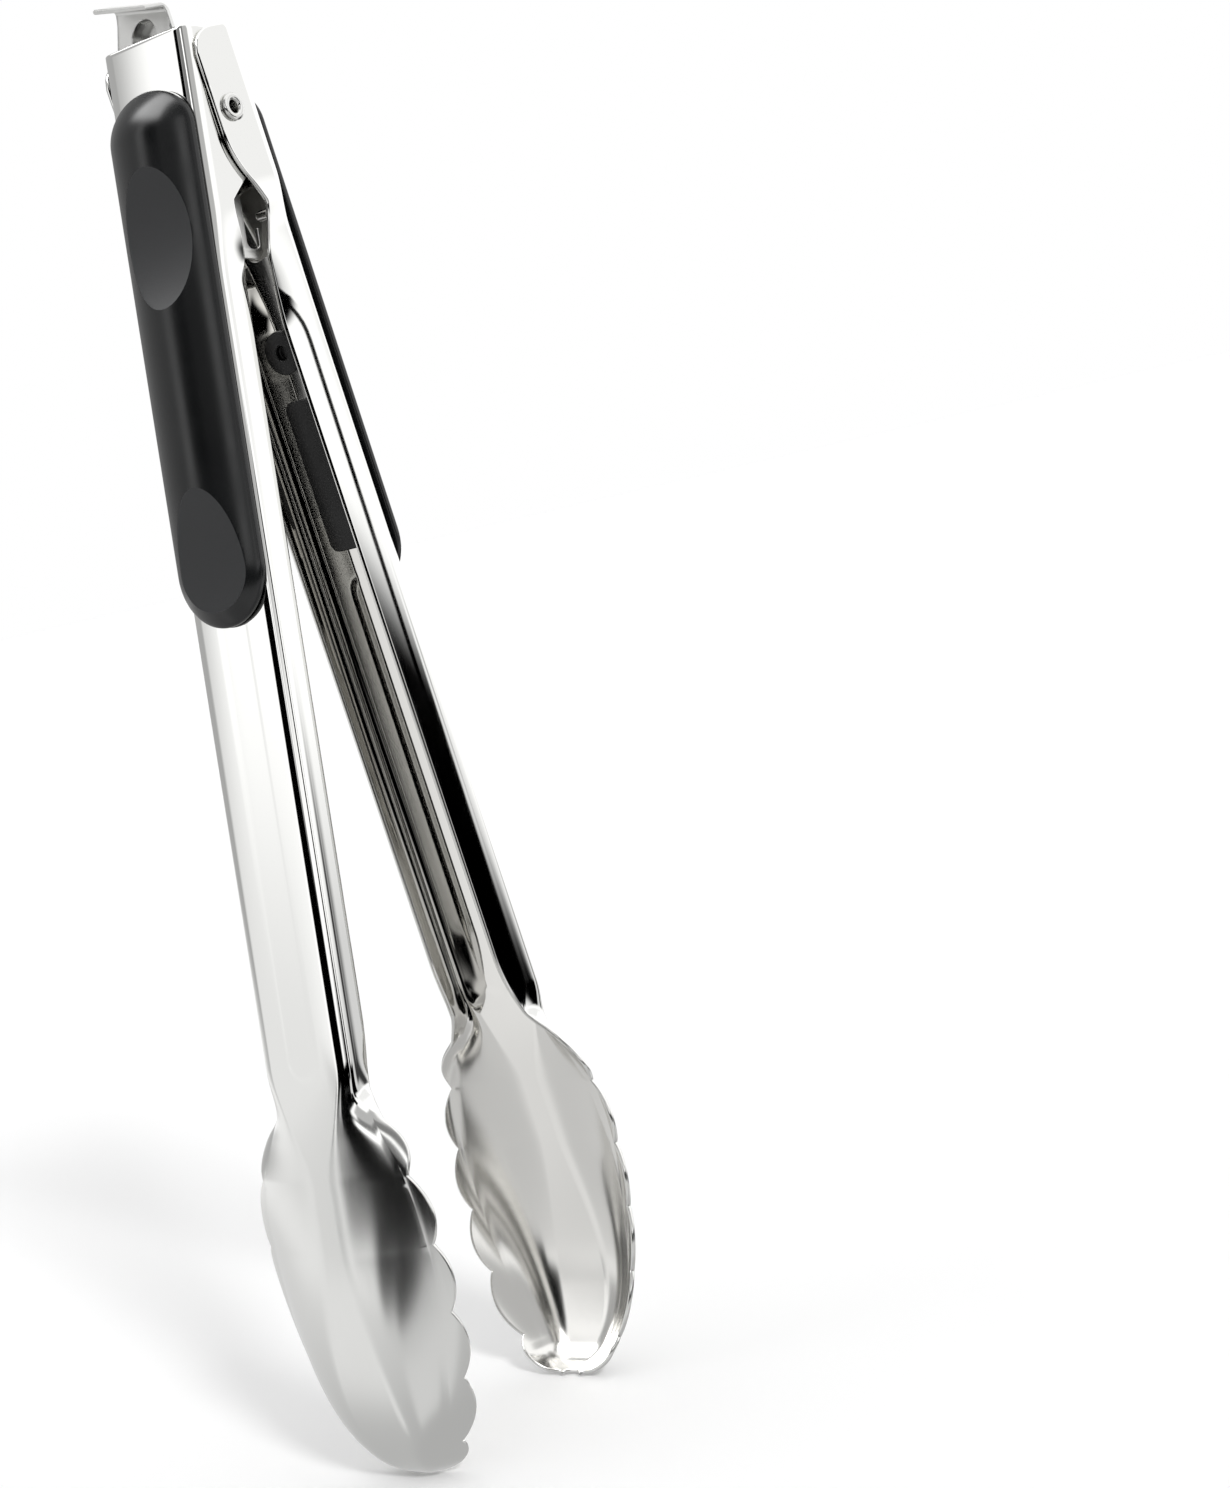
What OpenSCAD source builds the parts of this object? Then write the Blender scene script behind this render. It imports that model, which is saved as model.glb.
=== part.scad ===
// Spring loaded kitchen tongs, two pressed steel arms on a tubular rivet.
// Millimetres. Z is up along the line midway between the arms, tips down.
// X is the opening direction, Y is the pivot axis. Origin at the hanging hole.

/* [Arms] */
// Length from the top edge of the left arm to the tip
arm_length = 304.6; // [240:1:360]
// Pivot axis below the top edge of the left arm
pivot_drop = 17; // [14:0.5:22]
// Angle of each arm from the middle line when open
open_half_angle = 6.85; // [5:0.05:9]
// Angle of each arm from the middle line when the tips meet
closed_half_angle = 2; // [1.5:0.05:2.6]
// Outside width of the web
arm_width = 26; // [22:0.5:30]
// Height of the web outer face above the pivot axis
web_height = 9; // [8:0.25:12]
// Side flange height along most of the arm
flange_height = 9.2; // [6:0.1:9.4]
// Inward lean of each flange at its free edge
flange_lean = 3.2; // [0:0.1:4]
// Sheet thickness of the arms
sheet = 1; // [0.7:0.05:1.2]
// Bend size between web and flange
bend_size = 3; // [1.5:0.25:4]

/* [Ears] */
// Ear reach beyond the pivot axis
ear_reach = 4.5; // [3.5:0.1:5]
// Gap between the nested ears
ear_gap = 0.3; // [0.2:0.05:0.6]
// Length of the joggle that steps the outer ears in
joggle_length = 7; // [5:0.5:10]

/* [Heads] */
// Head length from the neck to the tip
head_length = 83.6; // [60:1:110]
// Half width of the head at its widest notch
head_half_width = 23.7; // [18:0.5:28]
// Side lobes on each edge after the shoulder lobe
side_lobes = 4; // [3:1:6]
// Bulge of each lobe past its notches
lobe_bulge = 1.8; // [0.8:0.1:2.6]
// Tip position across the arm, measured from the pivot line
tip_drop = 9; // [6:0.5:12]

/* [Stiffening bead] */
// Bead height toward the inside of the channel
bead_height = 0.5; // [0:0.1:2.4]
// Bead half width
bead_half_width = 4.6; // [3:0.1:6]
// Bead start below the pivot
bead_start = 106; // [100:1:140]
// Bead end below the pivot
bead_end = 197; // [150:1:200]

/* [Pivot rivet] */
// Rivet shank diameter
rivet_d = 4; // [3:0.1:5]
// Bore through the rivet
rivet_bore_d = 2.6; // [1.5:0.1:3]
// Rivet head diameter
rivet_head_d = 5.8; // [5:0.1:8]
// Rivet head thickness
rivet_head_t = 0.9; // [0.5:0.1:1.5]
// Running clearance on radius between rivet and ears
rivet_clearance = 0.05; // [0.02:0.01:0.1]

/* [Spring] */
// Spring wire diameter
wire_d = 1.3; // [0.8:0.1:1.8]
// Mean coil diameter
coil_d = 8; // [7:0.25:9]
// Number of coils
coils = 5; // [4:1:7]
// Length of each spring leg
leg_length = 21; // [16:1:24]

/* [Lock bar] */
// Width of the pull tab strip
tab_width = 17.4; // [13:0.2:18]
// Width of the tab at its lip
tab_top_width = 15; // [12:0.2:18]
// Slant of the lip across the tab
tab_slant = 13; // [0:0.5:15]
// Rise of the tab above the left web
tab_rise = 7.5; // [6:0.1:10]
// Lip turned outward at the top of the tab
lip_length = 5; // [4:0.5:10]
// Hanging hole diameter
hang_d = 7.4; // [5:0.2:8]
// Strip thickness
bar_t = 1; // [0.8:0.1:1.2]
// Travel of the lock bar
lock_travel = 4.5; // [4:0.1:4.8]
// Gap between the strip and the web behind it
bar_gap = 0.3; // [0.2:0.05:0.6]

/* [Grips] */
// Grip length
grip_length = 112; // [90:1:130]
// Grip start above the pivot
grip_start = 6; // [2:0.5:10]
// Grip half width
grip_half_width = 12.4; // [10:0.1:13]
// Grip height over the web
grip_height = 5; // [3:0.25:7]
// Edge wall of the grip
grip_edge = 1.2; // [0.6:0.1:2]
// Seat gap under the grip
grip_gap = 0.3; // [0.2:0.05:0.5]

/* [Hidden] */
$fn = 48;

steel = [0.78, 0.78, 0.77];
dark_steel = [0.55, 0.55, 0.54];
black = [0.09, 0.09, 0.1];

// Web mid line, flange mid line and their far ends
web_mid = web_height - sheet/2;
half_mid = arm_width/2 - sheet/2;
rim_n = web_mid - flange_height;
tip_s = arm_length - pivot_drop;
neck_s = tip_s - head_length;
ear_step = sheet + ear_gap;
// The first notch follows the shoulder lobe; the others are evenly spaced
shoulder_share = 0.219;
tip_share = 0.091;
first_notch = neck_s + head_length*shoulder_share;
last_notch = tip_s - head_length*tip_share;
lobe_pitch = (last_notch - first_notch)/side_lobes;

function clamp01(x) = min(1, max(0, x));
function smooth(x, a, b) = let (q = clamp01((x - a)/(b - a))) q*q*(3 - 2*q);
function mix(a, b, q) = a + (b - a)*q;

// Head outline: smooth envelope through the notches, then the lobes on top
head_peak = 0.42;
neck_inset = 1;
rise_power = 2.2;
fall_power = 2.3;
shoulder_start = neck_s + 7;
lobe_power = 0.8;
tip_widen = 0.3;
tip_flat = 0.03;
function envelope(s) = let (q = clamp01((s - neck_s)/head_length))
    q < head_peak
        ? mix(half_mid - neck_inset, head_half_width, 1 - pow(1 - q/head_peak, rise_power))
        : head_half_width*sqrt(max(0, 1 - pow((q - head_peak)/(1 - head_peak), fall_power)));
function lobe(s) = s < first_notch
    ? lobe_bulge*sin(180*clamp01((s - shoulder_start)/(first_notch - shoulder_start)))
    : lobe_bulge*pow(abs(sin(180*(s - first_notch)/lobe_pitch)), lobe_power);
function head_half(s) = s > last_notch
    ? (envelope(last_notch) + tip_widen)*sqrt(max(tip_flat, 1 - pow((s - last_notch)/(tip_s - last_notch), 2)))
    : envelope(s) + lobe(s);

// Ears keep their reach to here, then slant back; the inner pair is also trimmed above the pivot
outer_ear_end = 9.8;
outer_ear_slope = 0.65;
inner_ear_end = 12;
inner_ear_slope = 0.93;
inner_ear_trim = 0.18;
ear_root_n = 2.1;
ear_root_start = 20;
ear_root_end = 32;
lobe_curl = 0.6;
// Depth of the head rim: where it starts below the web, and how straight it falls
rim_start_depth = 1.9;
rim_straight = 0.32;
rim_lead = 15;
// The cup closes toward the tip from here on
cup_start = 0.3;
cup_power = 2.6;

// Free edge of the flange: ear, slanted step, flange, then the head rim
function ear_edge(s, outer) = min(ear_root_n, outer
    ? -ear_reach + outer_ear_slope*max(0, s - outer_ear_end)
    : -ear_reach + inner_ear_slope*max(0, s - inner_ear_end) + inner_ear_trim*max(0, -s));
function head_rim(s) = let (q = (s - neck_s)/head_length)
    mix(web_mid - rim_start_depth, -tip_drop, rim_straight*q + (1 - rim_straight)*q*q);
function rim_height(s, outer) =
    (s > first_notch ? head_rim(s)
        : mix(mix(ear_edge(s, outer), rim_n, smooth(s, ear_root_start, ear_root_end)),
              head_rim(first_notch), smooth(s, neck_s - rim_lead, first_notch)))
    - lobe_curl*lobe(min(s, last_notch));
function centre_height(s) = let (q = clamp01(((s - neck_s)/head_length - cup_start)/(1 - cup_start)))
    mix(-tip_drop, web_mid, sqrt(max(0, 1 - pow(q, cup_power))));

// Outer ears are stepped out by one sheet and a gap, then joggled in
joggle_end = 21;
lean_start = 22;
lean_end = 38;
// The channel opens into the cup over this run
cup_lead = 6;
cup_run = 22;
cup_corner = 0.5;
cup_bend = 0.3;
rim_run = 10;
function step_out(s, outer) = outer ? ear_step*(1 - smooth(s, joggle_end - joggle_length, joggle_end)) : 0;
function corner_half(s, outer) =
    mix(half_mid + step_out(s, outer), cup_corner*head_half(s), smooth(s, neck_s - cup_lead, neck_s + cup_run));
function rim_half(s, outer) = mix(
    half_mid + step_out(s, outer)
        - flange_lean*smooth(s, lean_start, lean_end)*(web_mid - rim_height(s, outer))/flange_height,
    head_half(s), smooth(s, neck_s - cup_lead, neck_s + rim_run));
function bend_at(s) = mix(bend_size, cup_bend*head_half(s), smooth(s, neck_s - 4, neck_s + cup_run));

// Pressed bead with rounded ends
bead_wall = 1.9;
function bead(s, y) = let (
    along = max(0, bead_start - s, s - bead_end),
    away = norm([along, y]))
    bead_height*(1 - smooth(away, bead_half_width - bead_wall, bead_half_width));

// Rounded tops of the ears; the outer pair is also cut back beside the web
outer_top_round = 5;
inner_top_round = 7;
round_from_n = 1.5;
bend_trim = 3.8;
bend_trim_from = 5.2;
bend_trim_over = 3.3;
top_run = 16;
function top_shift(n, outer) = let (q = clamp01((round_from_n - n)/(ear_reach + round_from_n)))
    (outer ? outer_top_round : inner_top_round)*(1 - sqrt(1 - q*q))
        + (outer ? bend_trim*pow(clamp01((n - bend_trim_from)/bend_trim_over), 2) : 0);

// One section point: j runs from one free edge over the web to the other
web_steps = 5;
bend_steps = 3;
flange_steps = 4;
half_steps = web_steps + bend_steps + flange_steps;
function half_point(s, k, outer) = let (
    a = corner_half(s, outer), nc = centre_height(s),
    yr = rim_half(s, outer), nr = rim_height(s, outer),
    leg = norm([yr - a, nr - nc]),
    r = min(bend_at(s), 0.8*leg, 0.8*a),
    dir = [yr - a, nr - nc]/leg,
    p0 = [a - r, nc], p2 = [a, nc] + r*dir)
    k <= web_steps ? [(a - r)*k/web_steps, nc]
    : k <= web_steps + bend_steps
        ? let (q = (k - web_steps)/bend_steps)
          (1 - q)*(1 - q)*p0 + 2*q*(1 - q)*[a, nc] + q*q*p2
        : mix(p2, [yr, nr], 1 - pow((half_steps - k)/flange_steps, 1.6));
// Mid surface point as [s, n, y]
function mid_point(s, j, outer) = let (
    k = abs(j), p = half_point(s, k, outer),
    n = p[1] - (k <= web_steps ? bead(s, p[0]) : 0),
    top = -pivot_drop + 0.2,
    shift = top_shift(p[1], outer)*clamp01(1 - (s - top)/top_run))
    [s + shift, n, (j < 0 ? -1 : 1)*p[0]];

// Stations: close together at the ears, neck and head, wide along the channel
ear_end = 40;
tip_steps = 6;
tip_turn = 14.2;
function steps(a, b, n) = [for (i = [0:n - 1]) a + (b - a)*i/n];
function stations() = concat(
    steps(-pivot_drop, ear_end, 26),
    steps(ear_end, bead_start - bead_half_width - 1, 3),
    steps(bead_start - bead_half_width - 1, bead_start + 1, 4),
    steps(bead_start + 1, neck_s - 16, 4),
    steps(neck_s - 16, first_notch, 19),
    steps(first_notch, last_notch, 7*side_lobes),
    [for (i = [0:tip_steps]) last_notch + (tip_s - last_notch)*sin(tip_turn*i)]);

function grid(outer) = [for (s = stations()) [for (j = [-half_steps:half_steps]) mid_point(s, j, outer)]];
function unit(v) = v/max(1e-9, norm(v));
function normals(g) = let (m = len(g) - 1, w = len(g[0]) - 1)
    [for (i = [0:m]) [for (j = [0:w])
        unit(cross(g[min(m, i + 1)][j] - g[max(0, i - 1)][j],
                   g[i][min(w, j + 1)] - g[i][max(0, j - 1)]))]];

// Arm frame [s, n, y] to the left arm in space: s down, n outward, y along the pivot
function place(p) = [-p[1], p[2], -p[0]];

module sheet_arm(outer) {
    g = grid(outer);
    nn = normals(g);
    rows = len(g);
    cols = len(g[0]);
    pts = concat(
        [for (i = [0:rows - 1]) for (j = [0:cols - 1]) place(g[i][j] + nn[i][j]*sheet/2)],
        [for (i = [0:rows - 1]) for (j = [0:cols - 1]) place(g[i][j] - nn[i][j]*sheet/2)]);
    back = rows*cols;
    function at(i, j) = i*cols + j;
    faces = concat(
        [for (i = [0:rows - 2]) for (j = [0:cols - 2]) [at(i, j), at(i, j + 1), at(i + 1, j + 1)]],
        [for (i = [0:rows - 2]) for (j = [0:cols - 2]) [at(i, j), at(i + 1, j + 1), at(i + 1, j)]],
        [for (i = [0:rows - 2]) for (j = [0:cols - 2]) [back + at(i, j), back + at(i + 1, j + 1), back + at(i, j + 1)]],
        [for (i = [0:rows - 2]) for (j = [0:cols - 2]) [back + at(i, j), back + at(i + 1, j), back + at(i + 1, j + 1)]],
        [for (i = [0:rows - 2]) for (e = [0:1]) let (j = e == 0 ? 0 : cols - 1, q = [at(i, j), at(i + 1, j), back + at(i + 1, j)])
            e == 0 ? q : [q[2], q[1], q[0]]],
        [for (i = [0:rows - 2]) for (e = [0:1]) let (j = e == 0 ? 0 : cols - 1, q = [at(i, j), back + at(i + 1, j), back + at(i, j)])
            e == 0 ? q : [q[2], q[1], q[0]]],
        [for (j = [0:cols - 2]) for (e = [0:1]) let (i = e == 0 ? 0 : rows - 1, q = [at(i, j), back + at(i, j), back + at(i, j + 1)])
            e == 0 ? q : [q[2], q[1], q[0]]],
        [for (j = [0:cols - 2]) for (e = [0:1]) let (i = e == 0 ? 0 : rows - 1, q = [at(i, j), back + at(i, j + 1), at(i, j + 1)])
            e == 0 ? q : [q[2], q[1], q[0]]]);
    polyhedron(pts, faces, convexity = 8);
}

// Positions of the grip fixings along the web
stud_s = 51;
stud_r = 3;
plug_s = 78.5;
plug_l = 34;
plug_w = 9;
post_l = 26;
post_w = 5;
post_gap = 0.3;

module arm(outer) {
    difference() {
        sheet_arm(outer);
        rotate([90, 0, 0]) cylinder(r = rivet_d/2 + rivet_clearance, h = 2*arm_width, center = true);
        translate([-web_height, 0, -stud_s]) rotate([0, 90, 0])
            cylinder(r = stud_r + post_gap, h = 6, center = true);
        translate([-web_height, 0, -plug_s])
            cube([6, post_w + 2*post_gap, post_l + 2*post_gap], center = true);
    }
}

// Hanging hole centre in the left arm frame
lip_bend = 0.9;
lip_droop = 14;
hole_land = 1.2;
tab_top = -pivot_drop - tab_rise;
hole_s = tab_top + bar_t + lip_bend + hole_land + hang_d/2;
lip_root = -tab_top - bar_t - lip_bend;
bar_out = web_height - sheet - bar_gap;
bar_mid = bar_out - bar_t/2;
// Same point in space, used to bring the origin onto the hole
hole_x = -(hole_s*sin(open_half_angle) + bar_mid*cos(open_half_angle));
hole_z = -(hole_s*cos(open_half_angle) - bar_mid*sin(open_half_angle));

module on_left() { translate([-hole_x, 0, -hole_z]) rotate([0, open_half_angle, 0]) children(); }
module on_right() { translate([-hole_x, 0, -hole_z]) mirror([1, 0, 0]) rotate([0, open_half_angle, 0]) children(); }
module on_pivot() { translate([-hole_x, 0, -hole_z]) children(); }

module left_arm() { color(steel) on_left() arm(false); }
module right_arm() { color(steel) on_right() arm(true); }

// Tubular rivet with a rolled head at each end
rivet_half = arm_width/2 + ear_step + 0.15;
module pivot_rivet() {
    head_half_t = rivet_head_t/2;
    color(dark_steel) on_pivot() rotate([90, 0, 0]) difference() {
        union() {
            cylinder(d = rivet_d, h = 2*(rivet_half + rivet_head_t), center = true);
            for (m = [0, 1]) mirror([0, 0, m]) {
                translate([0, 0, rivet_half]) cylinder(d = rivet_head_d, h = head_half_t);
                translate([0, 0, rivet_half + head_half_t])
                    cylinder(d1 = rivet_head_d, d2 = rivet_head_d - 2*head_half_t, h = head_half_t);
            }
        }
        cylinder(d = rivet_bore_d, h = 2*rivet_half + 4*rivet_head_t, center = true);
    }
}

// Torsion spring: a close coil on the rivet and one leg on each arm
coil_gap = 0.35;
coil_r = coil_d/2;
leg_end_n = web_height - sheet - bar_gap - wire_d/2;
leg_angle = open_half_angle + asin((leg_end_n - coil_r)/leg_length);
coil_turn = 360*coils + 180 - 2*leg_angle;
coil_half = (wire_d + coil_gap)*coil_turn/720;
wire_sides = 8;
turn_steps = 20;
function coil_point(q) = let (ang = 180 - leg_angle - coil_turn*q)
    [coil_r*cos(ang), coil_half*(2*q - 1), coil_r*sin(ang)];
function spring_path() = let (n = floor(coil_turn*turn_steps/360),
    down_l = [-sin(leg_angle), 0, -cos(leg_angle)]*leg_length,
    down_r = [sin(leg_angle), 0, -cos(leg_angle)]*leg_length)
    concat([for (k = [4:-1:1]) coil_point(0) + down_l*k/4],
           [for (i = [0:n]) coil_point(i/n)],
           [for (k = [1:4]) coil_point(1) + down_r*k/4]);

// Round wire along a path, closed at both ends
module wire(path, r) {
    last = len(path) - 1;
    rings = [for (i = [0:last]) let (
        t = unit(path[min(last, i + 1)] - path[max(0, i - 1)]),
        u = unit([0, 1, 0] - t*t[1]), v = cross(t, u))
        [for (k = [0:wire_sides - 1]) path[i] + r*(u*cos(360*k/wire_sides) + v*sin(360*k/wire_sides))]];
    pts = [for (ring = rings) for (p = ring) p];
    faces = concat(
        [for (i = [0:last - 1]) for (k = [0:wire_sides - 1]) let (a = i*wire_sides + k, b = i*wire_sides + (k + 1)%wire_sides)
            [a, b, b + wire_sides]],
        [for (i = [0:last - 1]) for (k = [0:wire_sides - 1]) let (a = i*wire_sides + k, b = i*wire_sides + (k + 1)%wire_sides)
            [a, b + wire_sides, a + wire_sides]],
        [[for (k = [wire_sides - 1:-1:0]) k]],
        [[for (k = [0:wire_sides - 1]) last*wire_sides + k]]);
    polyhedron(pts, faces, convexity = 6);
}
module torsion_spring() { color(dark_steel) on_pivot() wire(spring_path(), wire_d/2); }

// Box in the arm frame between two corners given as [s, n, y]
module arm_box(a, b) {
    translate([-b[1], a[2], -b[0]]) cube([b[1] - a[1], b[2] - a[2], b[0] - a[0]]);
}

// Catch pins sit on the right arm; the lock bar hooks over them when closed
pin_s = 22.5;
pin_n = 3.7;
pin_r = 1.1;
pin_in = 8.3;
pin_gap = 0.3;
closed_turn = 2*closed_half_angle;
// Pin centre in the left arm frame with the tips together
caught_s = pin_s*cos(closed_turn) - pin_n*sin(closed_turn);
caught_n = -pin_n*cos(closed_turn) - pin_s*sin(closed_turn);
hook_t = 0.8;
hook_in = caught_n - pin_r - pin_gap;
hook_out = hook_in - hook_t;
hook_room = 0.4;
hook_top = caught_s + pin_r + hook_room;
hook_floor = hook_top + lock_travel;
cheek_foot = 2.2;
cheek_end = hook_floor + cheek_foot;
cheek_top = 16;
tab_leg = lip_root + cheek_top + 4;
cheek_out = 9.6;
cheek_body_n = caught_n + pin_r + 1;
// Slot that clears the spring leg
slot_half = wire_d/2 + 0.9;
slot_top = 8;
slot_end = 27;

module lock_bar() {
    color(steel) on_left() {
        difference() {
            union() {
                intersection() {
                    translate([-bar_out - lip_bend, 0, lip_root]) rotate([tab_slant, 0, 0]) {
                        translate([lip_bend, -tab_width, -tab_leg]) cube([bar_t, 2*tab_width, tab_leg]);
                        rotate([90, 0, 0]) {
                            rotate_extrude(angle = 90 + lip_droop)
                                translate([lip_bend, -tab_width]) square([bar_t, 2*tab_width]);
                            rotate([0, 0, 90 + lip_droop]) translate([lip_bend, 0, -tab_width])
                                cube([bar_t, lip_length, 2*tab_width]);
                        }
                    }
                    translate([-tab_leg, 0, 0]) rotate([90, 0, 90]) linear_extrude(tab_leg) polygon([
                        [-tab_width/2, -cheek_top - 1], [tab_width/2, -cheek_top - 1], [tab_width/2, pivot_drop],
                        [tab_top_width/2, lip_root + lip_length], [-tab_top_width/2, lip_root + lip_length],
                        [-tab_width/2, pivot_drop]]);
                }
                arm_box([cheek_top, bar_out - bar_t, -cheek_out], [cheek_end, bar_out, cheek_out]);
                for (side = [-1, 1]) {
                    y0 = side > 0 ? cheek_out - bar_t : -cheek_out;
                    y1 = y0 + bar_t;
                    arm_box([cheek_top, cheek_body_n, y0], [cheek_end, bar_out, y1]);
                    arm_box([hook_floor, hook_out, y0], [cheek_end, bar_out, y1]);
                    arm_box([hook_top, hook_out, y0], [cheek_end, hook_in, y1]);
                }
            }
            translate([-bar_mid, 0, -hole_s]) rotate([0, 90, 0]) cylinder(d = hang_d, h = 4*bar_t, center = true);
            arm_box([slot_top, bar_out - 2*bar_t, -coil_half - slot_half], [slot_end, bar_out + bar_t, -coil_half + slot_half]);
        }
    }
}

module catch_pins() {
    color(dark_steel) on_right() for (side = [0, 1]) mirror([0, side, 0])
        translate([-pin_n, pin_in, -pin_s]) rotate([-90, 0, 0])
            cylinder(r = pin_r, h = arm_width/2 - sheet - pin_gap - pin_in);
}

// Grip shell: a domed bar with round ends and two thumb scoops
grip_base = web_height + grip_gap;
grip_top = grip_base + grip_height;
dome_rise = grip_height - grip_edge;
dome_r = (grip_half_width*grip_half_width + dome_rise*dome_rise)/(2*dome_rise);
scoop_depth = 2.1;
scoop_r = 53;
scoop_s = 24.7;
end_scoop_depth = 2.2;
end_scoop_r = 86;
end_scoop_s = 96;
module grip_profile() {
    intersection() {
        translate([0, grip_top - dome_r]) circle(r = dome_r, $fn = 96);
        translate([0, grip_base]) square([grip_half_width, grip_height]);
    }
}
module grip() {
    run = grip_length - 2*grip_half_width;
    mid = -grip_start + grip_half_width;
    difference() {
        union() {
            for (m = [0, 1]) mirror([0, m, 0]) translate([0, 0, -mid]) rotate([0, 0, 90]) rotate([0, 180, 0])
                linear_extrude(run) grip_profile();
            for (e = [0, 1]) translate([0, 0, -mid - e*run]) rotate([0, -90, 0]) rotate_extrude($fn = 96) grip_profile();
        }
        translate([-grip_top - scoop_r + scoop_depth, 0, -scoop_s]) rotate([90, 0, 0])
            cylinder(r = scoop_r, h = 60, center = true, $fn = 180);
        translate([-grip_top - end_scoop_r + end_scoop_depth, 0, -end_scoop_s]) rotate([90, 0, 0])
            cylinder(r = end_scoop_r, h = 60, center = true, $fn = 180);
    }
}
module left_grip() { color(black) on_left() grip(); }
module right_grip() { color(black) on_right() grip(); }

// Round fixing: flanged stud through the web with a blind hole
stud_head_r = 4.8;
stud_head_t = 1.8;
blind_r = 1.6;
inner_face = web_height - sheet - grip_gap;
module grip_stud() {
    translate([0, 0, -stud_s]) rotate([0, -90, 0]) difference() {
        union() {
            translate([0, 0, inner_face - stud_head_t]) cylinder(r = stud_head_r, h = stud_head_t);
            translate([0, 0, inner_face - 0.01]) cylinder(r = stud_r, h = sheet + grip_gap);
        }
        translate([0, 0, inner_face - stud_head_t - 1]) cylinder(r = blind_r, h = stud_head_t + 1.4);
    }
}
module left_grip_stud() { color(black) on_left() grip_stud(); }
module right_grip_stud() { color(black) on_right() grip_stud(); }

// Long fixing: a round ended plate inside the channel with a post through the slot
plug_t = 1.6;
plug_corner = 2.2;
module grip_plug() {
    corner = plug_corner;
    for (e = [-1, 1]) for (f = [-1, 1])
        translate([-inner_face, f*(plug_w/2 - corner), -plug_s + e*(plug_l/2 - corner)]) rotate([0, 90, 0])
            cylinder(r = corner, h = plug_t);
    translate([-inner_face, -plug_w/2 + corner, -plug_s - plug_l/2]) cube([plug_t, plug_w - 2*corner, plug_l]);
    translate([-inner_face, -plug_w/2, -plug_s - plug_l/2 + corner]) cube([plug_t, plug_w, plug_l - 2*corner]);
    translate([-web_height, -post_w/2, -plug_s - post_l/2]) cube([sheet + grip_gap + 0.01, post_w, post_l]);
}
module left_grip_plug() { color(black) on_left() grip_plug(); }
module right_grip_plug() { color(black) on_right() grip_plug(); }

left_arm();
right_arm();
pivot_rivet();
torsion_spring();
lock_bar();
left_grip();
right_grip();
left_grip_stud();
right_grip_stud();
left_grip_plug();
right_grip_plug();
catch_pins();
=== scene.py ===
"""Looks for a pair of spring loaded kitchen tongs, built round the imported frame.

Shapes are worked in millimetres in the arm's own directions, s down the arm from
the pivot, n outward from the pivot line and y along the rivet, then placed in the
row frame in metres. Side -1 is the left arm, side 1 the right arm.
"""

import math

import bmesh
import bpy
import numpy as np
from mathutils import Matrix, Vector


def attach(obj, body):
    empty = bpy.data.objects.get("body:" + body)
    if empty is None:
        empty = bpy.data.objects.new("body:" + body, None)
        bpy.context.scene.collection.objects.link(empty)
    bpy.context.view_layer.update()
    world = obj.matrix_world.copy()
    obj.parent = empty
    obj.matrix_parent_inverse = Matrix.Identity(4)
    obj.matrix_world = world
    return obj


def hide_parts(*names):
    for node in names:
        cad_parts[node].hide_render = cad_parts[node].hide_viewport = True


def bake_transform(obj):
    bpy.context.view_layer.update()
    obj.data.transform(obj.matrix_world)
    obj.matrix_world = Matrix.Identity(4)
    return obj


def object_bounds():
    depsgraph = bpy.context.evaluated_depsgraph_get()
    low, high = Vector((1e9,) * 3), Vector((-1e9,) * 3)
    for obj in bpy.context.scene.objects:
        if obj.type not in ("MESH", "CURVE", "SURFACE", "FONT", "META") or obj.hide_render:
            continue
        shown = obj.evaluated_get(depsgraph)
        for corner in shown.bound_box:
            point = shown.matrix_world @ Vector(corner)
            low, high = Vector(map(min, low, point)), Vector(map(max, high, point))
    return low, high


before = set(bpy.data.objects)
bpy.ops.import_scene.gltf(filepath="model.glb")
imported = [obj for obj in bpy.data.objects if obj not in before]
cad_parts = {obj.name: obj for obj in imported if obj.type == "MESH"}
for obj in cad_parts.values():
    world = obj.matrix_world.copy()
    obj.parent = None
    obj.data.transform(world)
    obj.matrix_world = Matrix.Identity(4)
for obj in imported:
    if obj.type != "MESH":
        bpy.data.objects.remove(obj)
cad_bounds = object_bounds()

MM = 0.001
LEFT, RIGHT = -1, 1
SIDE_NAME = {LEFT: "left", RIGHT: "right"}

# ---------------------------------------------------------------- sizes, mm
OPEN_ANGLE = math.radians(6.85)
CLOSED_TURN = math.radians(4.0)
PIVOT_DROP = 17.0
ARM_LENGTH = 304.6
ARM_WIDTH = 26.0
WEB_N = 9.0
SHEET = 1.0
FLANGE = 9.2
FLANGE_LEAN = 3.2
BEND = 3.0
EAR_REACH = 4.5
EAR_STEP = 1.3
EAR_TOP = 2.1
# Where the outer ear's free edge starts to rise, the length of its curve, its slope
OUTER_EAR = (4.8, 10.0, 0.65)
# The inner ear's edge: where it starts to rise and its slope, and its slope over the pivot
INNER_EAR = (12.0, 0.93, 0.18)
HEAD = 83.6
HEAD_HALF = 23.7
SIDE_LOBES = 4
LOBE = 1.8
LOBE_CURL = 0.6
TIP_DROP = 9.0
BEAD = (106.0, 197.0)
BEAD_RISE = 0.03
HEAD_BULGE = 0.2
FLANGE_BULGE = 0.12
BEAD_HALF = 4.6
CROWN = 0.16
SHEET_EDGE = 0.3

WEB_MID = WEB_N - SHEET / 2
HALF_MID = ARM_WIDTH / 2 - SHEET / 2
RIM_N = WEB_MID - FLANGE
TIP_S = ARM_LENGTH - PIVOT_DROP
NECK_S = TIP_S - HEAD
FIRST_NOTCH = NECK_S + HEAD * 0.219
LAST_NOTCH = TIP_S - HEAD * 0.091
LOBE_PITCH = (LAST_NOTCH - FIRST_NOTCH) / SIDE_LOBES

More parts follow.
